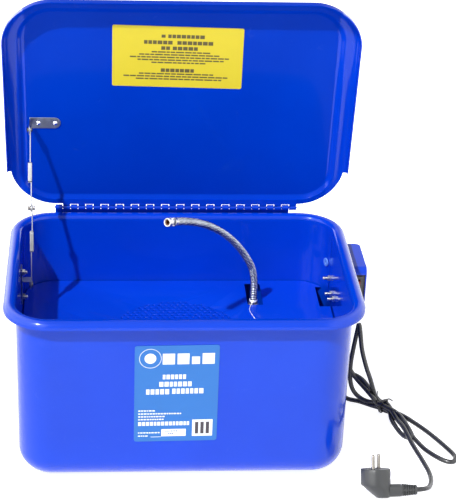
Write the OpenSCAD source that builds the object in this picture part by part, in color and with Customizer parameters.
// Bench-top parts washer tank: drawn steel tub with a rolled rim, hinged lid on a
// folding stay, perforated work shelf, pump under the shelf with a flexible spout,
// switch box and mains cord. Origin: floor level, centre of the tub. +Z up, front is -Y.

/* [Tank] */
// Outside width over the rolled rim
rim_w = 470; // [462:1:478]
// Outside depth over the rolled rim
rim_d = 330; // [328:1:332]
// Height of the tub from its underside to the rim
tank_h = 252; // [250:1:256]
// Plan radius of the rim corners
rim_r = 61; // [56:1:66]
// Radius between the walls and the bottom
bottom_r = 36; // [28:1:40]
// Sheet thickness of the tub and lid
sheet = 1.2; // [1:0.1:1.4]
// Height of the rubber feet
foot_h = 6; // [5:1:8]

/* [Lid] */
// Angle of the lid above closed
lid_open = 82; // [0:1:82]
// Depth of the lid flange below the hinge plane
lid_flange = 16.5; // [14:0.5:18]
// Depth the lid panel is pressed outwards
lid_press = 5; // [3:0.5:6]

/* [Hinge] */
// Number of hinge knuckles
knuckles = 32; // [24:2:34]
// Length of one knuckle with its gap
knuckle_pitch = 10.8; // [10:0.1:10.8]
// Outside radius of a knuckle
knuckle_r = 3.8; // [3.4:0.1:3.8]
// Radius of the hinge pin
hinge_pin_r = 1.5; // [1.2:0.1:1.8]

/* [Lid stay] */
// Lower arm, pivot to elbow
stay_lower_len = 106; // [104:1:110]
// Upper arm, elbow to pivot
stay_upper_len = 108; // [106:1:112]
// Width of the arms
stay_w = 10; // [8:1:12]

/* [Shelf] */
// Height of the work shelf above the underside of the tub
shelf_h = 148; // [140:1:150]
// Pitch of the drain holes
hole_pitch = 8.3; // [8.3:0.1:14]
// Radius of a drain hole
hole_r = 1.6; // [1:0.1:2]
// Radius of the perforated field
drain_r = 91; // [60:1:95]

/* [Spout] */
// Outside radius of the flexible spout
spout_r = 5.25; // [4.5:0.25:6]
// Compass direction of the spout
spout_az = 227.2; // [215:0.1:240]
// Height where the spout starts to bend
spout_z1 = 178.5; // [172:0.5:184]
// Radius of the first bend
spout_r1 = 77.6; // [70:0.1:90]
// Turn of the first bend
spout_t1 = 32.6; // [28:0.1:38]
// Radius of the second bend
spout_r2 = 294; // [280:1:320]
// Turn of the second bend
spout_t2 = 41.9; // [36:0.1:44]

/* [Cord] */
// Radius of the mains cord
cord_r = 3.2; // [2.8:0.1:3.5]

/* [Hidden] */
$fn = 48;

blue = [0.02, 0.16, 0.78];
zinc = [0.75, 0.76, 0.78];
dark = [0.09, 0.09, 0.1];
link_grey = [0.62, 0.6, 0.57];

tub_z = foot_h;
floor_z = tub_z + sheet;         // inner face of the tub bottom
rim_z = tub_z + tank_h;
wall_inset = 16;                 // rim edge to the outer face of the walls
wall_x = rim_w/2 - wall_inset;
wall_y = rim_d/2 - wall_inset;
inner_x = wall_x - sheet;
inner_y = wall_y - sheet;
corner_x = rim_w/2 - rim_r;      // centre of the right rear rim corner
corner_y = rim_d/2 - rim_r;
shelf_z = tub_z + shelf_h;       // top face of the shelf
spout_xy = [107.5, 81];
screw_r = 2.5;
screw_hole_r = 2.6;
nut_r = 4.6;                     // over the corners

// ---------- helpers ----------
function dir(a) = [cos(a), sin(a)];

// Rounded rectangle outline, x from -half_w to half_w
function rounded(half_w, y0, y1, r, steps = 7) = [
  for (corner = [0:3]) for (i = [0:steps])
    let (a = 90*corner + 90*i/steps,
      side = (corner == 0 || corner == 3) ? 1 : -1,
      centre_y = (corner < 2) ? y1 - r : y0 + r)
    [side*(half_w - r) + r*cos(a), centre_y + r*sin(a)]];

// Closed skin through a stack of outlines that share one point count
module skin(rings) {
  m = len(rings);
  n = len(rings[0]);
  polyhedron(
    points = [for (ring = rings) for (p = ring) p],
    faces = concat(
      [[for (j = [0:n-1]) j]],
      [for (i = [0:m-2]) for (j = [0:n-1]) let (k = (j+1)%n) [i*n+j, (i+1)*n+j, (i+1)*n+k]],
      [for (i = [0:m-2]) for (j = [0:n-1]) let (k = (j+1)%n) [i*n+j, (i+1)*n+k, i*n+k]],
      [[for (j = [n-1:-1:0]) (m-1)*n+j]]),
    convexity = 8);
}

// Catmull-Rom curve through points p, steps per span
function spline(a, b, c, d, t) =
  0.5*((2*b) + (c-a)*t + (2*a-5*b+4*c-d)*t*t + (3*b-a-3*c+d)*t*t*t);
function curve(p, steps) = concat(
  [for (i = [0:len(p)-2]) for (k = [0:steps-1])
    spline(p[max(i-1, 0)], p[i], p[i+1], p[min(i+2, len(p)-1)], k/steps)],
  [p[len(p)-1]]);

function unit(v) = v/norm(v);
function tangent(p, i) = unit(p[min(i+1, len(p)-1)] - p[max(i-1, 0)]);

// Pairs of cross axes along path p, each carried on from the one before
function frames(p, i, last) = i >= len(p) ? [] :
  let (t = tangent(p, i), v = unit(last - (last*t)*t))
  concat([[v, cross(t, v)]], frames(p, i+1, v));

// Round bar of n sides along path p
module tube_along(p, r, n = 8) {
  axes = frames(p, 0, [1, 0.13, 0.21]);
  skin([for (i = [0:len(p)-1]) [for (j = [0:n-1])
    p[i] + r*cos(360*j/n)*axes[i][0] + r*sin(360*j/n)*axes[i][1]]]);
}

// Cylinder along X from x0 to x1
module x_rod(x0, x1, y, z, r)
  translate([x0, y, z]) rotate([0, 90, 0]) cylinder(h = x1 - x0, r = r);

// The same at each [y, z] of a list
module x_rods(x0, x1, places, r)
  for (p = places) x_rod(x0, x1, p[0], p[1], r);

// Upright cylinder with its base at z
module z_rod(z, h, r) translate([0, 0, z]) cylinder(h = h, r = r);

// Block between two opposite corners
module block(low, high) translate(low) cube(high - low);

// ---------- tub ----------
// Rolled rim, [inset from the rim edge, depth below the rim]: outer face, then inner face
rim_profile = [
  [16, 8], [15.4, 4.2], [13.4, 2.2], [11, 1.4], [9, 1.2], [6.3, 1.7], [4, 3.1], [2.4, 5],
  [1.5, 7], [1.2, 8.5], [1.2, 10.5],
  [0, 10.5], [0, 8.2], [0.5, 5.8], [1.6, 3.7], [3.4, 1.7], [6, 0.4], [9, 0], [11.6, 0.3],
  [14.2, 1.4], [16.2, 3.6], [17.2, 8]];
function tub_ring(inset, z) = [
  for (p = rounded(rim_w/2 - inset, -rim_d/2 + inset, rim_d/2 - inset, max(rim_r - inset, 4)))
    [p[0], p[1], z]];
// Rings of the bottom bend, depth inside the outer face
function bottom_bend(angles, depth) = let (r = bottom_r - depth) [
  for (a = angles)
    tub_ring(wall_inset + depth + r*(1 - sin(a)), tub_z + depth + r*(1 - cos(a)))];

// [y, z] places on the side walls
box_screw_yz = [[93, 186], [65, 176], [40, 181]];
stay_y = 45.4;
stay_z = 202;
stay_screw_yz = [for (dz = [-19, 19]) [stay_y, stay_z + dz]];
gland_y = 20;
gland_z = 115;

drain_xy = [-140, 60];
drain_bore_r = 8.05;
module at_drain(z = 0) translate([drain_xy[0], drain_xy[1], z]) children();

// X points out through the right rear corner of the tub
module at_grommet()
  translate([corner_x, corner_y, 199]) rotate([0, 0, 19.29]) children();

module tank() color(blue) difference() {
  skin(concat(
    bottom_bend([0:15:90], 0),
    [for (p = rim_profile) tub_ring(p[0], rim_z - p[1])],
    bottom_bend([90:-15:0], sheet)));
  x_rods(-wall_x - 5, -inner_x + 5, stay_screw_yz, screw_hole_r);
  x_rods(inner_x - 5, wall_x + 5, box_screw_yz, screw_hole_r);
  at_grommet() x_rod(40, 50, 0, 0, 4);
  x_rod(inner_x - 5, wall_x + 5, gland_y, gland_z, 6);
  at_drain() cylinder(h = 20, r = drain_bore_r);
}

module rubber_feet() color(dark)
  for (p = [[-160, -90], [160, -90], [-160, 90], [160, 90], [0, 0]])
    translate([p[0], p[1], 0])
      rotate_extrude() polygon([[0, 0], [11, 0], [12, 1.5], [12, foot_h], [0, foot_h]]);

module front_label() color([0.27, 0.6, 0.93])
  block([-66, -wall_y - 0.3, tub_z + 66], [43, -wall_y, tub_z + 211]);

module drain_bung() color(blue) at_drain(floor_z) difference() {
  cylinder(h = 7, r = 13);
  z_rod(-1, 9, drain_bore_r);
}

module drain_gasket() color(dark) at_drain(tub_z - 1) difference() {
  cylinder(h = 1, r = 12);
  z_rod(-1, 3, drain_bore_r);
}

// Plug with a hexagonal socket from below
module drain_plug() color(zinc) at_drain() difference() {
  union() {
    z_rod(tub_z - 4.4, 3.4, 12);
    z_rod(tub_z - 1, sheet + 8, 8);
  }
  cylinder(h = tub_z + 1, r = 5, $fn = 6);
}

// ---------- hinge ----------
hinge_y = rim_d/2 + sheet - knuckle_r;
hinge_z = rim_z + 6.5;
knuckle_gap = 0.4;
function knuckle_x(i) = -knuckles*knuckle_pitch/2 - 0.8 + i*knuckle_pitch;

// Every second knuckle, from number first
module knuckle_row(first, y, z)
  for (i = [first:2:knuckles-1])
    x_rod(knuckle_x(i), knuckle_x(i) + knuckle_pitch - knuckle_gap, y, z, knuckle_r);

module pin_hole(y, z)
  x_rod(knuckle_x(0) - 1, knuckle_x(knuckles) + 1, y, z, hinge_pin_r + 0.05);

module hinge_leaf_tank() color(blue) difference() {
  union() {
    block([knuckle_x(0), rim_d/2, rim_z - 9], [knuckle_x(knuckles-1), rim_d/2 + sheet, hinge_z]);
    knuckle_row(0, hinge_y, hinge_z);
  }
  for (i = [1:2:knuckles-1])
    block([knuckle_x(i) - knuckle_gap, hinge_y - 6, hinge_z - knuckle_r - 0.6],
      [knuckle_x(i+1), hinge_y + 6, hinge_z + 6]);
  pin_hole(hinge_y, hinge_z);
}

// Lid coordinates: x, v forwards from the hinge axis, w into the tub when closed.
// Inside on_lid(), Y is -v and Z is -w.
module on_lid() translate([0, hinge_y, hinge_z]) rotate([-lid_open, 0, 0]) children();
module lid_block(low, high)
  translate([low[0], -high[1], -high[2]])
    cube([high[0] - low[0], high[1] - low[1], high[2] - low[2]]);

module hinge_leaf_lid() color(blue) on_lid() difference() {
  union() {
    lid_block([knuckle_x(1), 0, 0], [knuckle_x(knuckles) - knuckle_gap, 14, sheet]);
    knuckle_row(1, 0, 0);
  }
  for (i = [2:2:knuckles-1])
    lid_block([knuckle_x(i) - knuckle_gap, -6, -6], [knuckle_x(i+1), 5, 6]);
  pin_hole(0, 0);
}

module hinge_pin() color(zinc)
  x_rod(knuckle_x(0) - 0.6, knuckle_x(knuckles) + 0.4, hinge_y, hinge_z, hinge_pin_r);

// ---------- lid ----------
lid_half_w = rim_w/2 + 3;
lid_front_v = hinge_y + rim_d/2 + 3;
lid_full_v = 62;     // the rear trim ends here
// Lid section, [inset from the edge, w, v of the rear edge]: outer face, then inner face
lid_profile = [
  [26, -lid_press - sheet, 22], [22, -lid_press - sheet + 0.2, 18],
  [17.5, -sheet - 0.4, 13.5], [14.5, -sheet, 11], [12, -sheet, -10], [8, -sheet + 0.7, -12],
  [4.2, 1.2, -14], [1.6, 4.2, -16], [0.3, 7.8, -18], [0, 10.5, -20], [0, lid_flange, -20],
  [sheet, lid_flange, -20], [sheet, 10.5, -20], [1.5, 8, -18], [2.6, 5, -16], [5, 2.2, -14],
  [8.4, 0.6, -12], [12, 0, -10], [15, 0, 11.5], [18.2, -0.5, 14],
  [22.6, -lid_press + 0.2, 18.5], [26.5, -lid_press, 22.5]];
function lid_ring(inset, w, rear_v) = [
  for (p = rounded(lid_half_w - inset, rear_v, lid_front_v - inset, max(64 - inset, 6)))
    [p[0], -p[1], -w]];

bracket_v = 136;
lid_rivet_x = [-195.5, -172];
module at_lid_rivets() for (x = lid_rivet_x) translate([x, -bracket_v, 0]) children();

module lid() color(blue) on_lid() difference() {
  intersection() {
    skin([for (s = lid_profile) lid_ring(s[0], s[1], s[2])]);
    // Trims the rear edge to round corners and leaves the rest whole
    translate([0, 0, -lid_flange - 5]) linear_extrude(lid_flange + lid_press + 20) {
      polygon([for (p = rounded(lid_half_w - 4.5, 6, lid_front_v - 30, 62)) [p[0], -p[1]]]);
      translate([-lid_half_w - 2, -lid_front_v - 5])
        square([2*lid_half_w + 4, lid_front_v + 5 - lid_full_v]);
    }
  }
  at_lid_rivets() z_rod(-5, 20, 2);
}

module lid_label() color([1, 0.88, 0.1])
  on_lid() lid_block([-94, 192, -lid_press], [83, 286, -lid_press + 0.3]);

// ---------- lid stay ----------
strap_t = 1.2;       // arms and brackets
link_t = 0.3;
rivet_hole_r = 2;
shank_r = 1.98;
tail_r = 3.5;
bracket_half_w = 7.5;
bracket_end_x = -173;
pivot_w = 14;

// Layers of the stay along X, from the bracket plate inwards
stay_x = -207.2;     // outer face of the lid bracket plate
upper_top_x = stay_x + 1.25;
upper_link_x = upper_top_x + strap_t;
upper_bottom_x = upper_link_x + link_t;
lower_top_x = stay_x + 4;
lower_link_x = lower_top_x - link_t;
lower_bottom_x = lower_link_x - strap_t;
wall_plate_x = stay_x + strap_t;

// Span where the two halves of an arm overlap
upper_lap = [47, 71];    // from the lid pivot
lower_lap = [34, 58];    // from the elbow

// Pivots as [y, z]; the two arm lengths place the elbow
wall_pivot = [stay_y, stay_z];
lid_pivot = [hinge_y - bracket_v*cos(lid_open) - pivot_w*sin(lid_open),
  hinge_z + bracket_v*sin(lid_open) - pivot_w*cos(lid_open)];
reach = norm(lid_pivot - wall_pivot);
lower_angle = atan2(lid_pivot[1] - wall_pivot[1], lid_pivot[0] - wall_pivot[0])
  + acos((stay_lower_len*stay_lower_len + reach*reach - stay_upper_len*stay_upper_len)
    /(2*stay_lower_len*reach));
elbow = wall_pivot + stay_lower_len*dir(lower_angle);
upper_angle = atan2(lid_pivot[1] - elbow[1], lid_pivot[0] - elbow[0]);

module lid_bracket() color(zinc) on_lid() difference() {
  union() {
    lid_block([stay_x, bracket_v - 8.5, -lid_press],
      [bracket_end_x, bracket_v + 8.5, -lid_press + strap_t]);
    translate([bracket_end_x, -bracket_v, lid_press - strap_t]) cylinder(h = strap_t, r = 8.5);
    lid_block([stay_x, bracket_v - bracket_half_w, -lid_press],
      [stay_x + strap_t, bracket_v + bracket_half_w, pivot_w]);
    x_rod(stay_x, stay_x + strap_t, -bracket_v, -pivot_w, bracket_half_w);
  }
  at_lid_rivets() z_rod(-5, 20, rivet_hole_r);
  x_rod(stay_x - 1, stay_x + 3, -bracket_v, -pivot_w, rivet_hole_r);
}

module lid_bracket_rivets() color(zinc) on_lid() at_lid_rivets() {
  z_rod(lid_press - strap_t, 2.4, shank_r);
  z_rod(lid_press - 2.4, 1.2, tail_r);
  z_rod(lid_press + sheet, 1, 3.2);
}

// Flat strap along an angle out of a pivot; a hole gives that end a round eye
module strap(x, thick, pivot, angle, from, to, width, eye_r = 0)
  translate([x, pivot[0], pivot[1]]) rotate([angle, 0, 0]) difference() {
    union() {
      translate([0, from, -width/2]) cube([thick, to - from, width]);
      if (eye_r > 0) x_rod(0, thick, from, 0, width/2);
    }
    if (eye_r > 0) x_rod(-1, thick + 1, from, 0, eye_r);
  }

// Rivet shank from x0 to x1, tail on its -X end, head on its +X end
module rivet(pivot, x0, x1, tail = 0, head = 0) {
  x_rods(x0, x1, [pivot], shank_r);
  if (tail > 0) x_rods(x0 - tail, x0, [pivot], tail_r);
  if (head > 0) x_rods(x1, x1 + head, [pivot], 4);
}

module stay_upper_arm_top() color(zinc)
  strap(upper_top_x, strap_t, lid_pivot, upper_angle + 180, 0, upper_lap[1], stay_w, 2.05);

module stay_upper_link() color(link_grey)
  strap(upper_link_x, link_t, lid_pivot, upper_angle + 180,
    upper_lap[0], upper_lap[1], stay_w + 4);

module stay_upper_arm_bottom() color(zinc)
  strap(upper_bottom_x, strap_t, elbow, upper_angle,
    0, stay_upper_len - upper_lap[0], stay_w, rivet_hole_r);

module stay_elbow_tail() color(zinc)
  rivet(elbow, upper_bottom_x, upper_bottom_x + strap_t, tail = 1);

module stay_lower_arm_top() color(zinc)
  strap(lower_top_x, strap_t, elbow, lower_angle + 180, 0, lower_lap[1], stay_w, rivet_hole_r);

module stay_lower_link() color(link_grey)
  strap(lower_link_x, link_t, elbow, lower_angle + 180,
    lower_lap[0], lower_lap[1], stay_w + 4);

module stay_lower_arm_bottom() color(zinc)
  strap(lower_bottom_x, strap_t, wall_pivot, lower_angle,
    0, stay_lower_len - lower_lap[0], stay_w, 2.05);

module stay_elbow_rivet() color(zinc)
  rivet(elbow, lower_top_x, lower_top_x + strap_t, head = 1.2);

module stay_upper_pivot_rivet() color(zinc)
  rivet(lid_pivot, stay_x, stay_x + 2.55, tail = 1, head = 1.05);

module stay_lower_pivot_rivet() color(zinc)
  rivet(wall_pivot, wall_plate_x, stay_x + 3.8, tail = 1, head = 1.1);

module stay_wall_bracket() color(zinc) difference() {
  plate_x1 = wall_plate_x + strap_t;
  top_z = stay_z + 7.8;
  union() {
    block([-inner_x, stay_y - 8, stay_z - 27], [-inner_x + strap_t, stay_y + 8, stay_z + 27]);
    block([-inner_x, stay_y - 7, top_z - strap_t], [plate_x1, stay_y + 7, top_z]);
    block([wall_plate_x, stay_y - 7, stay_z], [plate_x1, stay_y + 7, top_z]);
    x_rod(wall_plate_x, plate_x1, stay_y, stay_z, 7);
  }
  x_rods(-inner_x - 2, -inner_x + 4, stay_screw_yz, screw_hole_r);
  x_rod(stay_x, stay_x + 4, stay_y, stay_z, rivet_hole_r);
}

module stay_wall_screws() color(zinc) {
  x_rods(-wall_x, -inner_x + 8, stay_screw_yz, screw_r);
  x_rods(-wall_x - 2.6, -wall_x, stay_screw_yz, 4.6);
}

module stay_wall_nuts() color(zinc) for (p = stay_screw_yz) difference() {
  x_rods(-inner_x + strap_t, -inner_x + 5, [p], nut_r, $fn = 6);
  x_rods(-inner_x, -inner_x + 9, [p], screw_r);
}

// ---------- shelf ----------
row_pitch = hole_pitch*0.866;
hole_rows = floor(drain_r/row_pitch);
field_xy = [-5, -6];     // centre of the perforated field
module shelf() color(blue) difference() {
  translate([0, 0, shelf_z - sheet]) linear_extrude(sheet) difference() {
    polygon(rounded(inner_x - 1.3, -inner_y + 1.3, inner_y - 1.3, 43));
    translate([inner_x - 16.5, 68]) square([30, 59]);
    translate([99, 73]) square([22, 64]);
  }
  for (j = [-hole_rows:hole_rows]) for (i = [-14:14])
    let (x = (i + (abs(j)%2)/2)*hole_pitch, y = j*row_pitch)
      if (norm([x, y]) < drain_r - 2)
        translate([x + field_xy[0], y + field_xy[1], shelf_z - 5]) cylinder(h = 8, r = hole_r);
}

// Upright frames under the shelf, one at each side
module shelf_legs() color(blue) for (x = [-165, 165]) difference() {
  block([x - 0.6, -98, floor_z + 0.1], [x + 0.6, 98, shelf_z - sheet]);
  block([x - 5, -80, tub_z + 20], [x + 5, 80, shelf_z - 20]);
}

// ---------- spout ----------
module at_spout(z = 0) translate([spout_xy[0], spout_xy[1], z]) children();
// Upright plane of the spout: X outwards along its direction, Y up
module in_spout() at_spout() rotate([90, 0, spout_az]) children();
// Bent bar in that plane, from angle start through turn
module bend(centre, bend_r, start, turn)
  translate([centre[0], centre[1], 0]) rotate([0, 0, start])
    rotate_extrude(angle = turn) translate([bend_r, 0]) circle(r = spout_r);

bend1_centre = [spout_r1, spout_z1];
bend1_end = 180 - spout_t1;
bend2_centre = bend1_centre + spout_r1*dir(bend1_end) + spout_r2*dir(-spout_t1);
bend2_end = bend1_end - spout_t2;
spout_tip = bend2_centre + spout_r2*dir(bend2_end);
spout_gap = 3;       // degrees left open at the start of the first bend

// Z points on along the spout from its tip
module at_tip()
  in_spout() translate([spout_tip[0], spout_tip[1], 0])
    rotate([0, 0, bend2_end]) rotate([90, 0, 0]) children();

module spout_nut() color(zinc) at_spout() difference() {
  union() {
    z_rod(shelf_z - 4.95, 8.95, 7.4);
    z_rod(shelf_z + 4, 4, 6.4);
  }
  z_rod(shelf_z - 6, 10, 4.05);
  z_rod(shelf_z, 20, 2.6);
}

module spout_lower() color(zinc) at_spout(shelf_z + 8) difference() {
  cylinder(h = spout_z1 - shelf_z - 8, r = spout_r);
  z_rod(-1, 12, 2.6);
}

module spout_upper() color(zinc) in_spout() {
  bend(bend1_centre, spout_r1, bend1_end, spout_t1 - spout_gap);
  bend(bend2_centre, spout_r2, bend2_end, spout_t2);
}

nozzle_r = 3.6;
module spout_ferrule() color(zinc) at_tip() difference() {
  cylinder(h = 13, r = 6);
  z_rod(3, 12, nozzle_r);
}

module spout_nozzle() color([0.8, 0.62, 0.25]) at_tip() translate([0, 0, 3]) difference() {
  cylinder(h = 9, r = nozzle_r);
  z_rod(1.5, 12, 2);
}

module swivel_fitting() color(zinc) at_spout() difference() {
  union() {
    z_rod(shelf_z - 30, 21, 5);
    z_rod(shelf_z - 9, 4, 7.4);
    z_rod(shelf_z - 6, 9.9, 4);
  }
  z_rod(shelf_z - 31, 60, 2.5);
}

tube_z = 72;
tube_r = 7;
module outlet_tube() color([0.16, 0.17, 0.18]) at_spout(tube_z) difference() {
  cylinder(h = shelf_z - 9 - tube_z, r = tube_r);
  z_rod(-1, 120, 5);
}

module tube_clamps() color(zinc) for (z = [tube_z + 4, shelf_z - 20]) at_spout(z) difference() {
  union() {
    cylinder(h = 7, r = 8);
    translate([6, -3, 0]) cube([6, 6, 7]);
  }
  z_rod(-1, 9, tube_r);
}

// ---------- pump ----------
// The shaft lies along X, with the volute under the spout
pump_y = spout_xy[1];
pump_z = 40;
pump_r = 26;
shaft_r = 2;
shaft_hole_r = 2.05;
stator_r = 22;
cable_z = pump_z + 14;
pump_base_z = 11;
module pump_rod(x0, x1, r) x_rod(x0, x1, pump_y, pump_z, r);

module pump_volute() color(dark) difference() {
  union() {
    pump_rod(88, 114, pump_r);
    at_spout(pump_z + 22) cylinder(h = 20, r = 4.98);
    at_spout(pump_z + 20) cylinder(h = 10, r = 6.4);
  }
  pump_rod(91, 111, 20);
  pump_rod(80, 100, shaft_hole_r);
  pump_rod(100, 120, 8);
  at_spout(pump_z) cylinder(h = 60, r = 3);
}

module pump_impeller() color([0.85, 0.85, 0.82]) difference() {
  union() {
    pump_rod(93, 95, 17);
    pump_rod(93, 104, 5);
    for (a = [0:60:300])
      translate([94, pump_y, pump_z]) rotate([a, 0, 0])
        translate([0, 3, -0.8]) cube([8, 13.5, 1.6]);
  }
  pump_rod(90, 110, shaft_r);
}

module pump_shaft() color(zinc) pump_rod(28, 104, shaft_r);

module pump_rotor() color([0.3, 0.3, 0.32]) difference() {
  pump_rod(36, 72, 11.5);
  pump_rod(30, 80, shaft_r);
}

module pump_stator() color([0.7, 0.4, 0.2]) difference() {
  pump_rod(34, 74, stator_r);
  pump_rod(30, 80, 12.2);
}

module pump_motor_housing() color(dark) difference() {
  union() {
    pump_rod(20, 88, pump_r);
    block([24, pump_y - 22, pump_base_z], [84, pump_y + 22, 17]);
    x_rod(14, 22, pump_y, cable_z, 6);
  }
  pump_rod(24, 84, stator_r);
  pump_rod(26, 100, shaft_hole_r);
  x_rod(10, 19, pump_y, cable_z, cord_r);
}

module pump_feet() color(dark) for (x = [32, 76], y = [-15, 15])
  translate([x, pump_y + y, floor_z]) rotate_extrude()
    polygon([[0, 0], [7, 0], [5, pump_base_z - floor_z], [0, pump_base_z - floor_z]]);

module intake_screen() color(dark) difference() {
  pump_rod(114, 122, 21);
  pump_rod(113, 120.5, 19.5);
  // Two rings of holes, [ring radius, angle step]
  for (ring = [[6, 60], [13, 30]]) for (a = [0:ring[1]:359])
    x_rod(119, 124, pump_y + ring[0]*cos(a), pump_z + ring[0]*sin(a), 1.9);
}

// Where the pump cable enters the switch box from below
box_cable_x = wall_x + 20.5;
box_cable_y = 64;

// From the motor through the gland in the right wall and up into the switch box
module pump_cable() color(dark) tube_along(curve([
  [19, pump_y, cable_z], [13.8, pump_y, cable_z], [12, pump_y, cable_z],
  [5, pump_y - 2, pump_z + 15], [-3, pump_y - 18, 70], [4, 50, 96], [30, 28, 112],
  [80, gland_y, gland_z], [160, gland_y, gland_z], [inner_x, gland_y, gland_z],
  [wall_x + 10.4, gland_y, gland_z], [wall_x + 12, gland_y, gland_z],
  [wall_x + 18, 25, 122], [box_cable_x, 38, 138], [box_cable_x, 58, 152],
  [box_cable_x, box_cable_y, 161], [box_cable_x, box_cable_y, 166],
  [box_cable_x, box_cable_y, 172.5]], 4), cord_r - 0.3);

module gland_rod(x0, x1, r) x_rod(x0, x1, gland_y, gland_z, r);

module cable_gland() color(dark) difference() {
  union() {
    gland_rod(inner_x - 6, wall_x, 5.98);
    gland_rod(wall_x, wall_x + 5, 10, $fn = 6);
    gland_rod(wall_x + 5, wall_x + 10, 7);
  }
  gland_rod(inner_x - 10, wall_x + 20, 3.05);
}

module gland_nut() color(dark) difference() {
  gland_rod(inner_x - 5, inner_x, 10, $fn = 6);
  gland_rod(inner_x - 10, inner_x + 5, 6);
}

// ---------- switch box ----------
// Hood on the right wall, open at the front
hood_x1 = 262;
hood_y0 = 50;
hood_y1 = 129;
hood_z0 = 171;
hood_z1 = 223;
hood_corner_r = 7;       // right rear corner, in plan
hood_front_r = 9.5;      // top front edge
hood_t = 1.5;            // hood and back plate
hood_wall_r = wall_x - corner_x + 0.3;
cord_xy = [240, 84];     // where the mains cord leaves the hood
module at_cord(z = 0) translate([cord_xy[0], cord_xy[1], z]) children();

// The hood's open edge follows the tank's corner from the hood's back wall
// round to the side wall
function hood_edge(y1) = let (turn = asin((y1 - corner_y)/hood_wall_r)) [
  for (k = [5:-1:0])
    [corner_x + hood_wall_r*cos(turn*k/5), corner_y + hood_wall_r*sin(turn*k/5)]];

// Plan of the hood; with an inset it is the cavity, which runs out past the front
module hood_plan(inset) {
  front_y = hood_y0 - (inset > 0 ? 5 : 0);
  polygon(concat(
    [[wall_x, front_y], [hood_x1 - inset, front_y]],
    [for (a = [0:15:90])
      [hood_x1 - hood_corner_r, hood_y1 - hood_corner_r] + (hood_corner_r - inset)*dir(a)],
    hood_edge(hood_y1 - inset),
    [[wall_x, corner_y - 2]]));
}

// Side profile in [y, z]: first points, round top front edge, last points
module hood_side(first, edge_r, last = [])
  translate([wall_x - 15, 0, 0]) rotate([90, 0, 90]) linear_extrude(70)
    polygon(concat(first,
      [[hood_y0 + hood_front_r, hood_z1 + 1]],
      [for (a = [90:15:180])
        [hood_y0 + hood_front_r, hood_z1 - hood_front_r] + edge_r*dir(a)],
      last));

module switch_box() color(blue) difference() {
  intersection() {
    translate([0, 0, hood_z0]) linear_extrude(hood_z1 - hood_z0) hood_plan(0);
    hood_side([[hood_y0, hood_z0 - 1], [hood_y1 + 1, hood_z0 - 1], [hood_y1 + 1, hood_z1 + 1]],
      hood_front_r);
  }
  intersection() {
    translate([0, 0, hood_z0 + hood_t]) linear_extrude(hood_z1 - hood_z0 - 2*hood_t)
      hood_plan(hood_t);
    hood_side([[hood_y0 - 9, hood_z0], [hood_y1 + 1, hood_z0], [hood_y1 + 1, hood_z1]],
      hood_front_r - hood_t, [[hood_y0 - 9, hood_z1 - hood_front_r]]);
  }
  at_cord(hood_z0 - 5) cylinder(h = 12, r = 5);
  translate([box_cable_x, box_cable_y, hood_z0 - 5]) cylinder(h = 12, r = 3.2);
}

module box_back_plate() color(zinc) difference() {
  block([wall_x, 34, 173], [wall_x + hood_t, corner_y - 2, 206]);
  x_rods(wall_x - 1, wall_x + 4, box_screw_yz, screw_hole_r);
}

switch_x0 = 239;
switch_x1 = 256;
switch_z = 195;
switch_half_h = 13;
rocker_y = hood_y0 + 8;

// Block between two corners, with z measured from the switch centre
module switch_block(x0, x1, y0, y1, half_h)
  block([x0, y0, switch_z - half_h], [x1, y1, switch_z + half_h]);

module switch_plate() color([0.25, 0.24, 0.23]) difference() {
  block([wall_x + hood_t, hood_y0 + 4, hood_z0 + hood_t],
    [hood_x1 - hood_t, hood_y0 + 6, hood_z1 - hood_front_r - 0.5]);
  switch_block(switch_x0, switch_x1, 0, hood_y1, switch_half_h);
}

module switch_body() color(dark) difference() {
  union() {
    switch_block(switch_x0, switch_x1, hood_y0 + 4, hood_y0 + 26, switch_half_h);
    switch_block(switch_x0 - 2, switch_x1 + 2, hood_y0 + 2, hood_y0 + 4, switch_half_h + 2);
  }
  switch_block(switch_x0 + 2, switch_x1 - 2, 0, hood_y0 + 16, 10.5);
  x_rod(240, 255, rocker_y, switch_z, 1.55);
}

// Rocker side profile, [y from the hood front, z from the switch centre]
rocker_profile = [[-1.2, 8.8], [1, 0], [2.4, -8.8], [6, -8.8], [10.5, -2.5], [10.5, 2.5],
  [6, 8.8]];
module switch_rocker() color([0.55, 0.05, 0.04]) union() {
  translate([241.3, 0, 0]) rotate([90, 0, 90]) linear_extrude(12.4)
    polygon([for (p = rocker_profile) [hood_y0 + p[0], switch_z + p[1]]]);
  x_rod(240.1, 254.9, rocker_y, switch_z, 1.5);
}

module switch_terminals() color([0.8, 0.65, 0.3])
  for (z = [switch_z - 6, switch_z + 6], x = [243, 250])
    block([x, hood_y0 + 26, z - 2.4], [x + 0.8, hood_y0 + 34, z + 2.4]);

module box_screws() color(zinc) {
  x_rods(inner_x - 11, wall_x + hood_t, box_screw_yz, screw_r);
  x_rods(wall_x + hood_t, wall_x + 4, box_screw_yz, 3.4);
}

module box_nuts() color(zinc) for (p = box_screw_yz) difference() {
  x_rods(inner_x - 4, inner_x, [p], nut_r, $fn = 6);
  x_rods(inner_x - 9, inner_x + 4, [p], screw_r);
}

module box_grommet() color([0.35, 0.5, 0.8]) at_grommet() difference() {
  union() {
    x_rod(41, 44.7, 0, 0, 3.98);
    x_rod(40.9, 43.1, 0, 0, 6.2);
  }
  x_rod(36, 50, 0, 0, 2);
}

module cord_relief() color(dark) at_cord() difference() {
  union() {
    z_rod(hood_z0 - 12, 12, 6.5);
    z_rod(hood_z0, 6, 5);
  }
  z_rod(hood_z0 - 20, 40, cord_r + 0.05);
}

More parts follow.
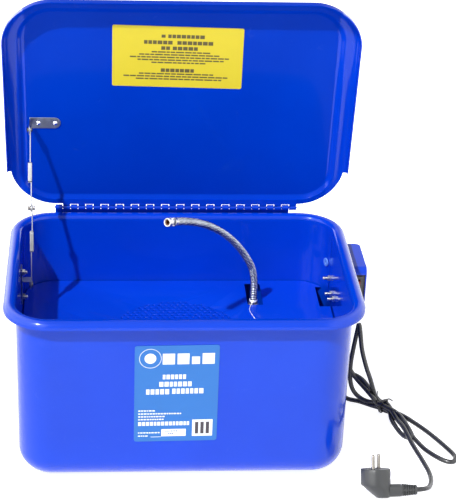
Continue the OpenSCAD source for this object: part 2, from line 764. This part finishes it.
// ---------- cord and plug ----------
plug_face = [255, -172, 40];     // centre of the face that carries the pins
plug_tilt = 29;
plug_r = 19;
plug_body_h = 20;
entry_depth = 28;                // face to the axis of the cord entry
pin_len = 19;
entry_y = plug_face[1] - entry_depth*sin(plug_tilt);
entry_z = plug_face[2] - entry_depth*cos(plug_tilt);

// From the switch box down to the floor, forwards in a loop and into the plug
module power_cord() color(dark) tube_along(curve([
  [cord_xy[0], cord_xy[1], 176.5], [cord_xy[0], cord_xy[1], 157], [cord_xy[0], cord_xy[1], 147],
  [238.5, 80, 110], [237, 74, 60], [238, 66, 22], [247, 60, 8], [264, 51, 5],
  [281, 40, 4.4], [297, 28, 4.2], [314, 16, 4.2], [331, 2, 4.2], [350, -26, 4.2],
  [367, -60, 4.2], [377, -86, 4.2], [375, -102, 4.2], [361, -101, 4.2], [345, -85, 4.2],
  [332, -80, 4.2], [327, -92, 4.2], [335, -112, 4.2], [339, -134, 4.6], [338, -155, 6],
  [332, -174, 10], [324, -183, 14.2],
  [313.5, entry_y, entry_z], [310.5, entry_y, entry_z], [290, entry_y, entry_z]], 3), cord_r);

// Z points out of the pin face
module on_plug() translate(plug_face) rotate([-plug_tilt, 0, 0]) children();
module at_pins() for (k = [-1, 1]) translate([k*5, k*8.1, 0]) children();

module plug_body() color(dark) on_plug() difference() {
  union() {
    z_rod(-plug_body_h, plug_body_h, plug_r);
    intersection() {
      translate([0, 0, -plug_body_h]) sphere(r = plug_r);
      translate([-30, -30, -38]) cube([60, 60, 18.1]);
    }
    x_rod(0, 55, 0, -entry_depth, 8.5);
  }
  x_rod(35, 65, 0, -entry_depth, cord_r + 0.05);
  for (k = [-1, 1]) translate([-3, k*plug_r - 2, -30]) cube([6, 4, 40]);
  at_pins() z_rod(-9, 20, 1.9);
}

module plug_pins() color(zinc) on_plug() at_pins() {
  z_rod(-9, 9.5, 1.88);
  cylinder(h = pin_len - 1.2, r = 2.4);
  translate([0, 0, pin_len - 1.2]) cylinder(h = 1.2, r1 = 2.4, r2 = 1.4);
}

tank();
rubber_feet();
front_label();
drain_bung();
drain_gasket();
drain_plug();
hinge_leaf_tank();
hinge_leaf_lid();
hinge_pin();
lid();
lid_label();
lid_bracket();
lid_bracket_rivets();
stay_upper_pivot_rivet();
stay_upper_arm_top();
stay_upper_link();
stay_upper_arm_bottom();
stay_elbow_tail();
stay_lower_arm_top();
stay_lower_link();
stay_lower_arm_bottom();
stay_elbow_rivet();
stay_lower_pivot_rivet();
stay_wall_bracket();
stay_wall_screws();
stay_wall_nuts();
shelf();
shelf_legs();
spout_nut();
spout_lower();
spout_upper();
spout_ferrule();
spout_nozzle();
swivel_fitting();
outlet_tube();
tube_clamps();
pump_volute();
pump_impeller();
pump_shaft();
pump_rotor();
pump_stator();
pump_motor_housing();
pump_feet();
intake_screen();
pump_cable();
cable_gland();
gland_nut();
switch_box();
box_back_plate();
switch_plate();
switch_body();
switch_rocker();
switch_terminals();
box_screws();
box_nuts();
box_grommet();
cord_relief();
power_cord();
plug_body();
plug_pins();
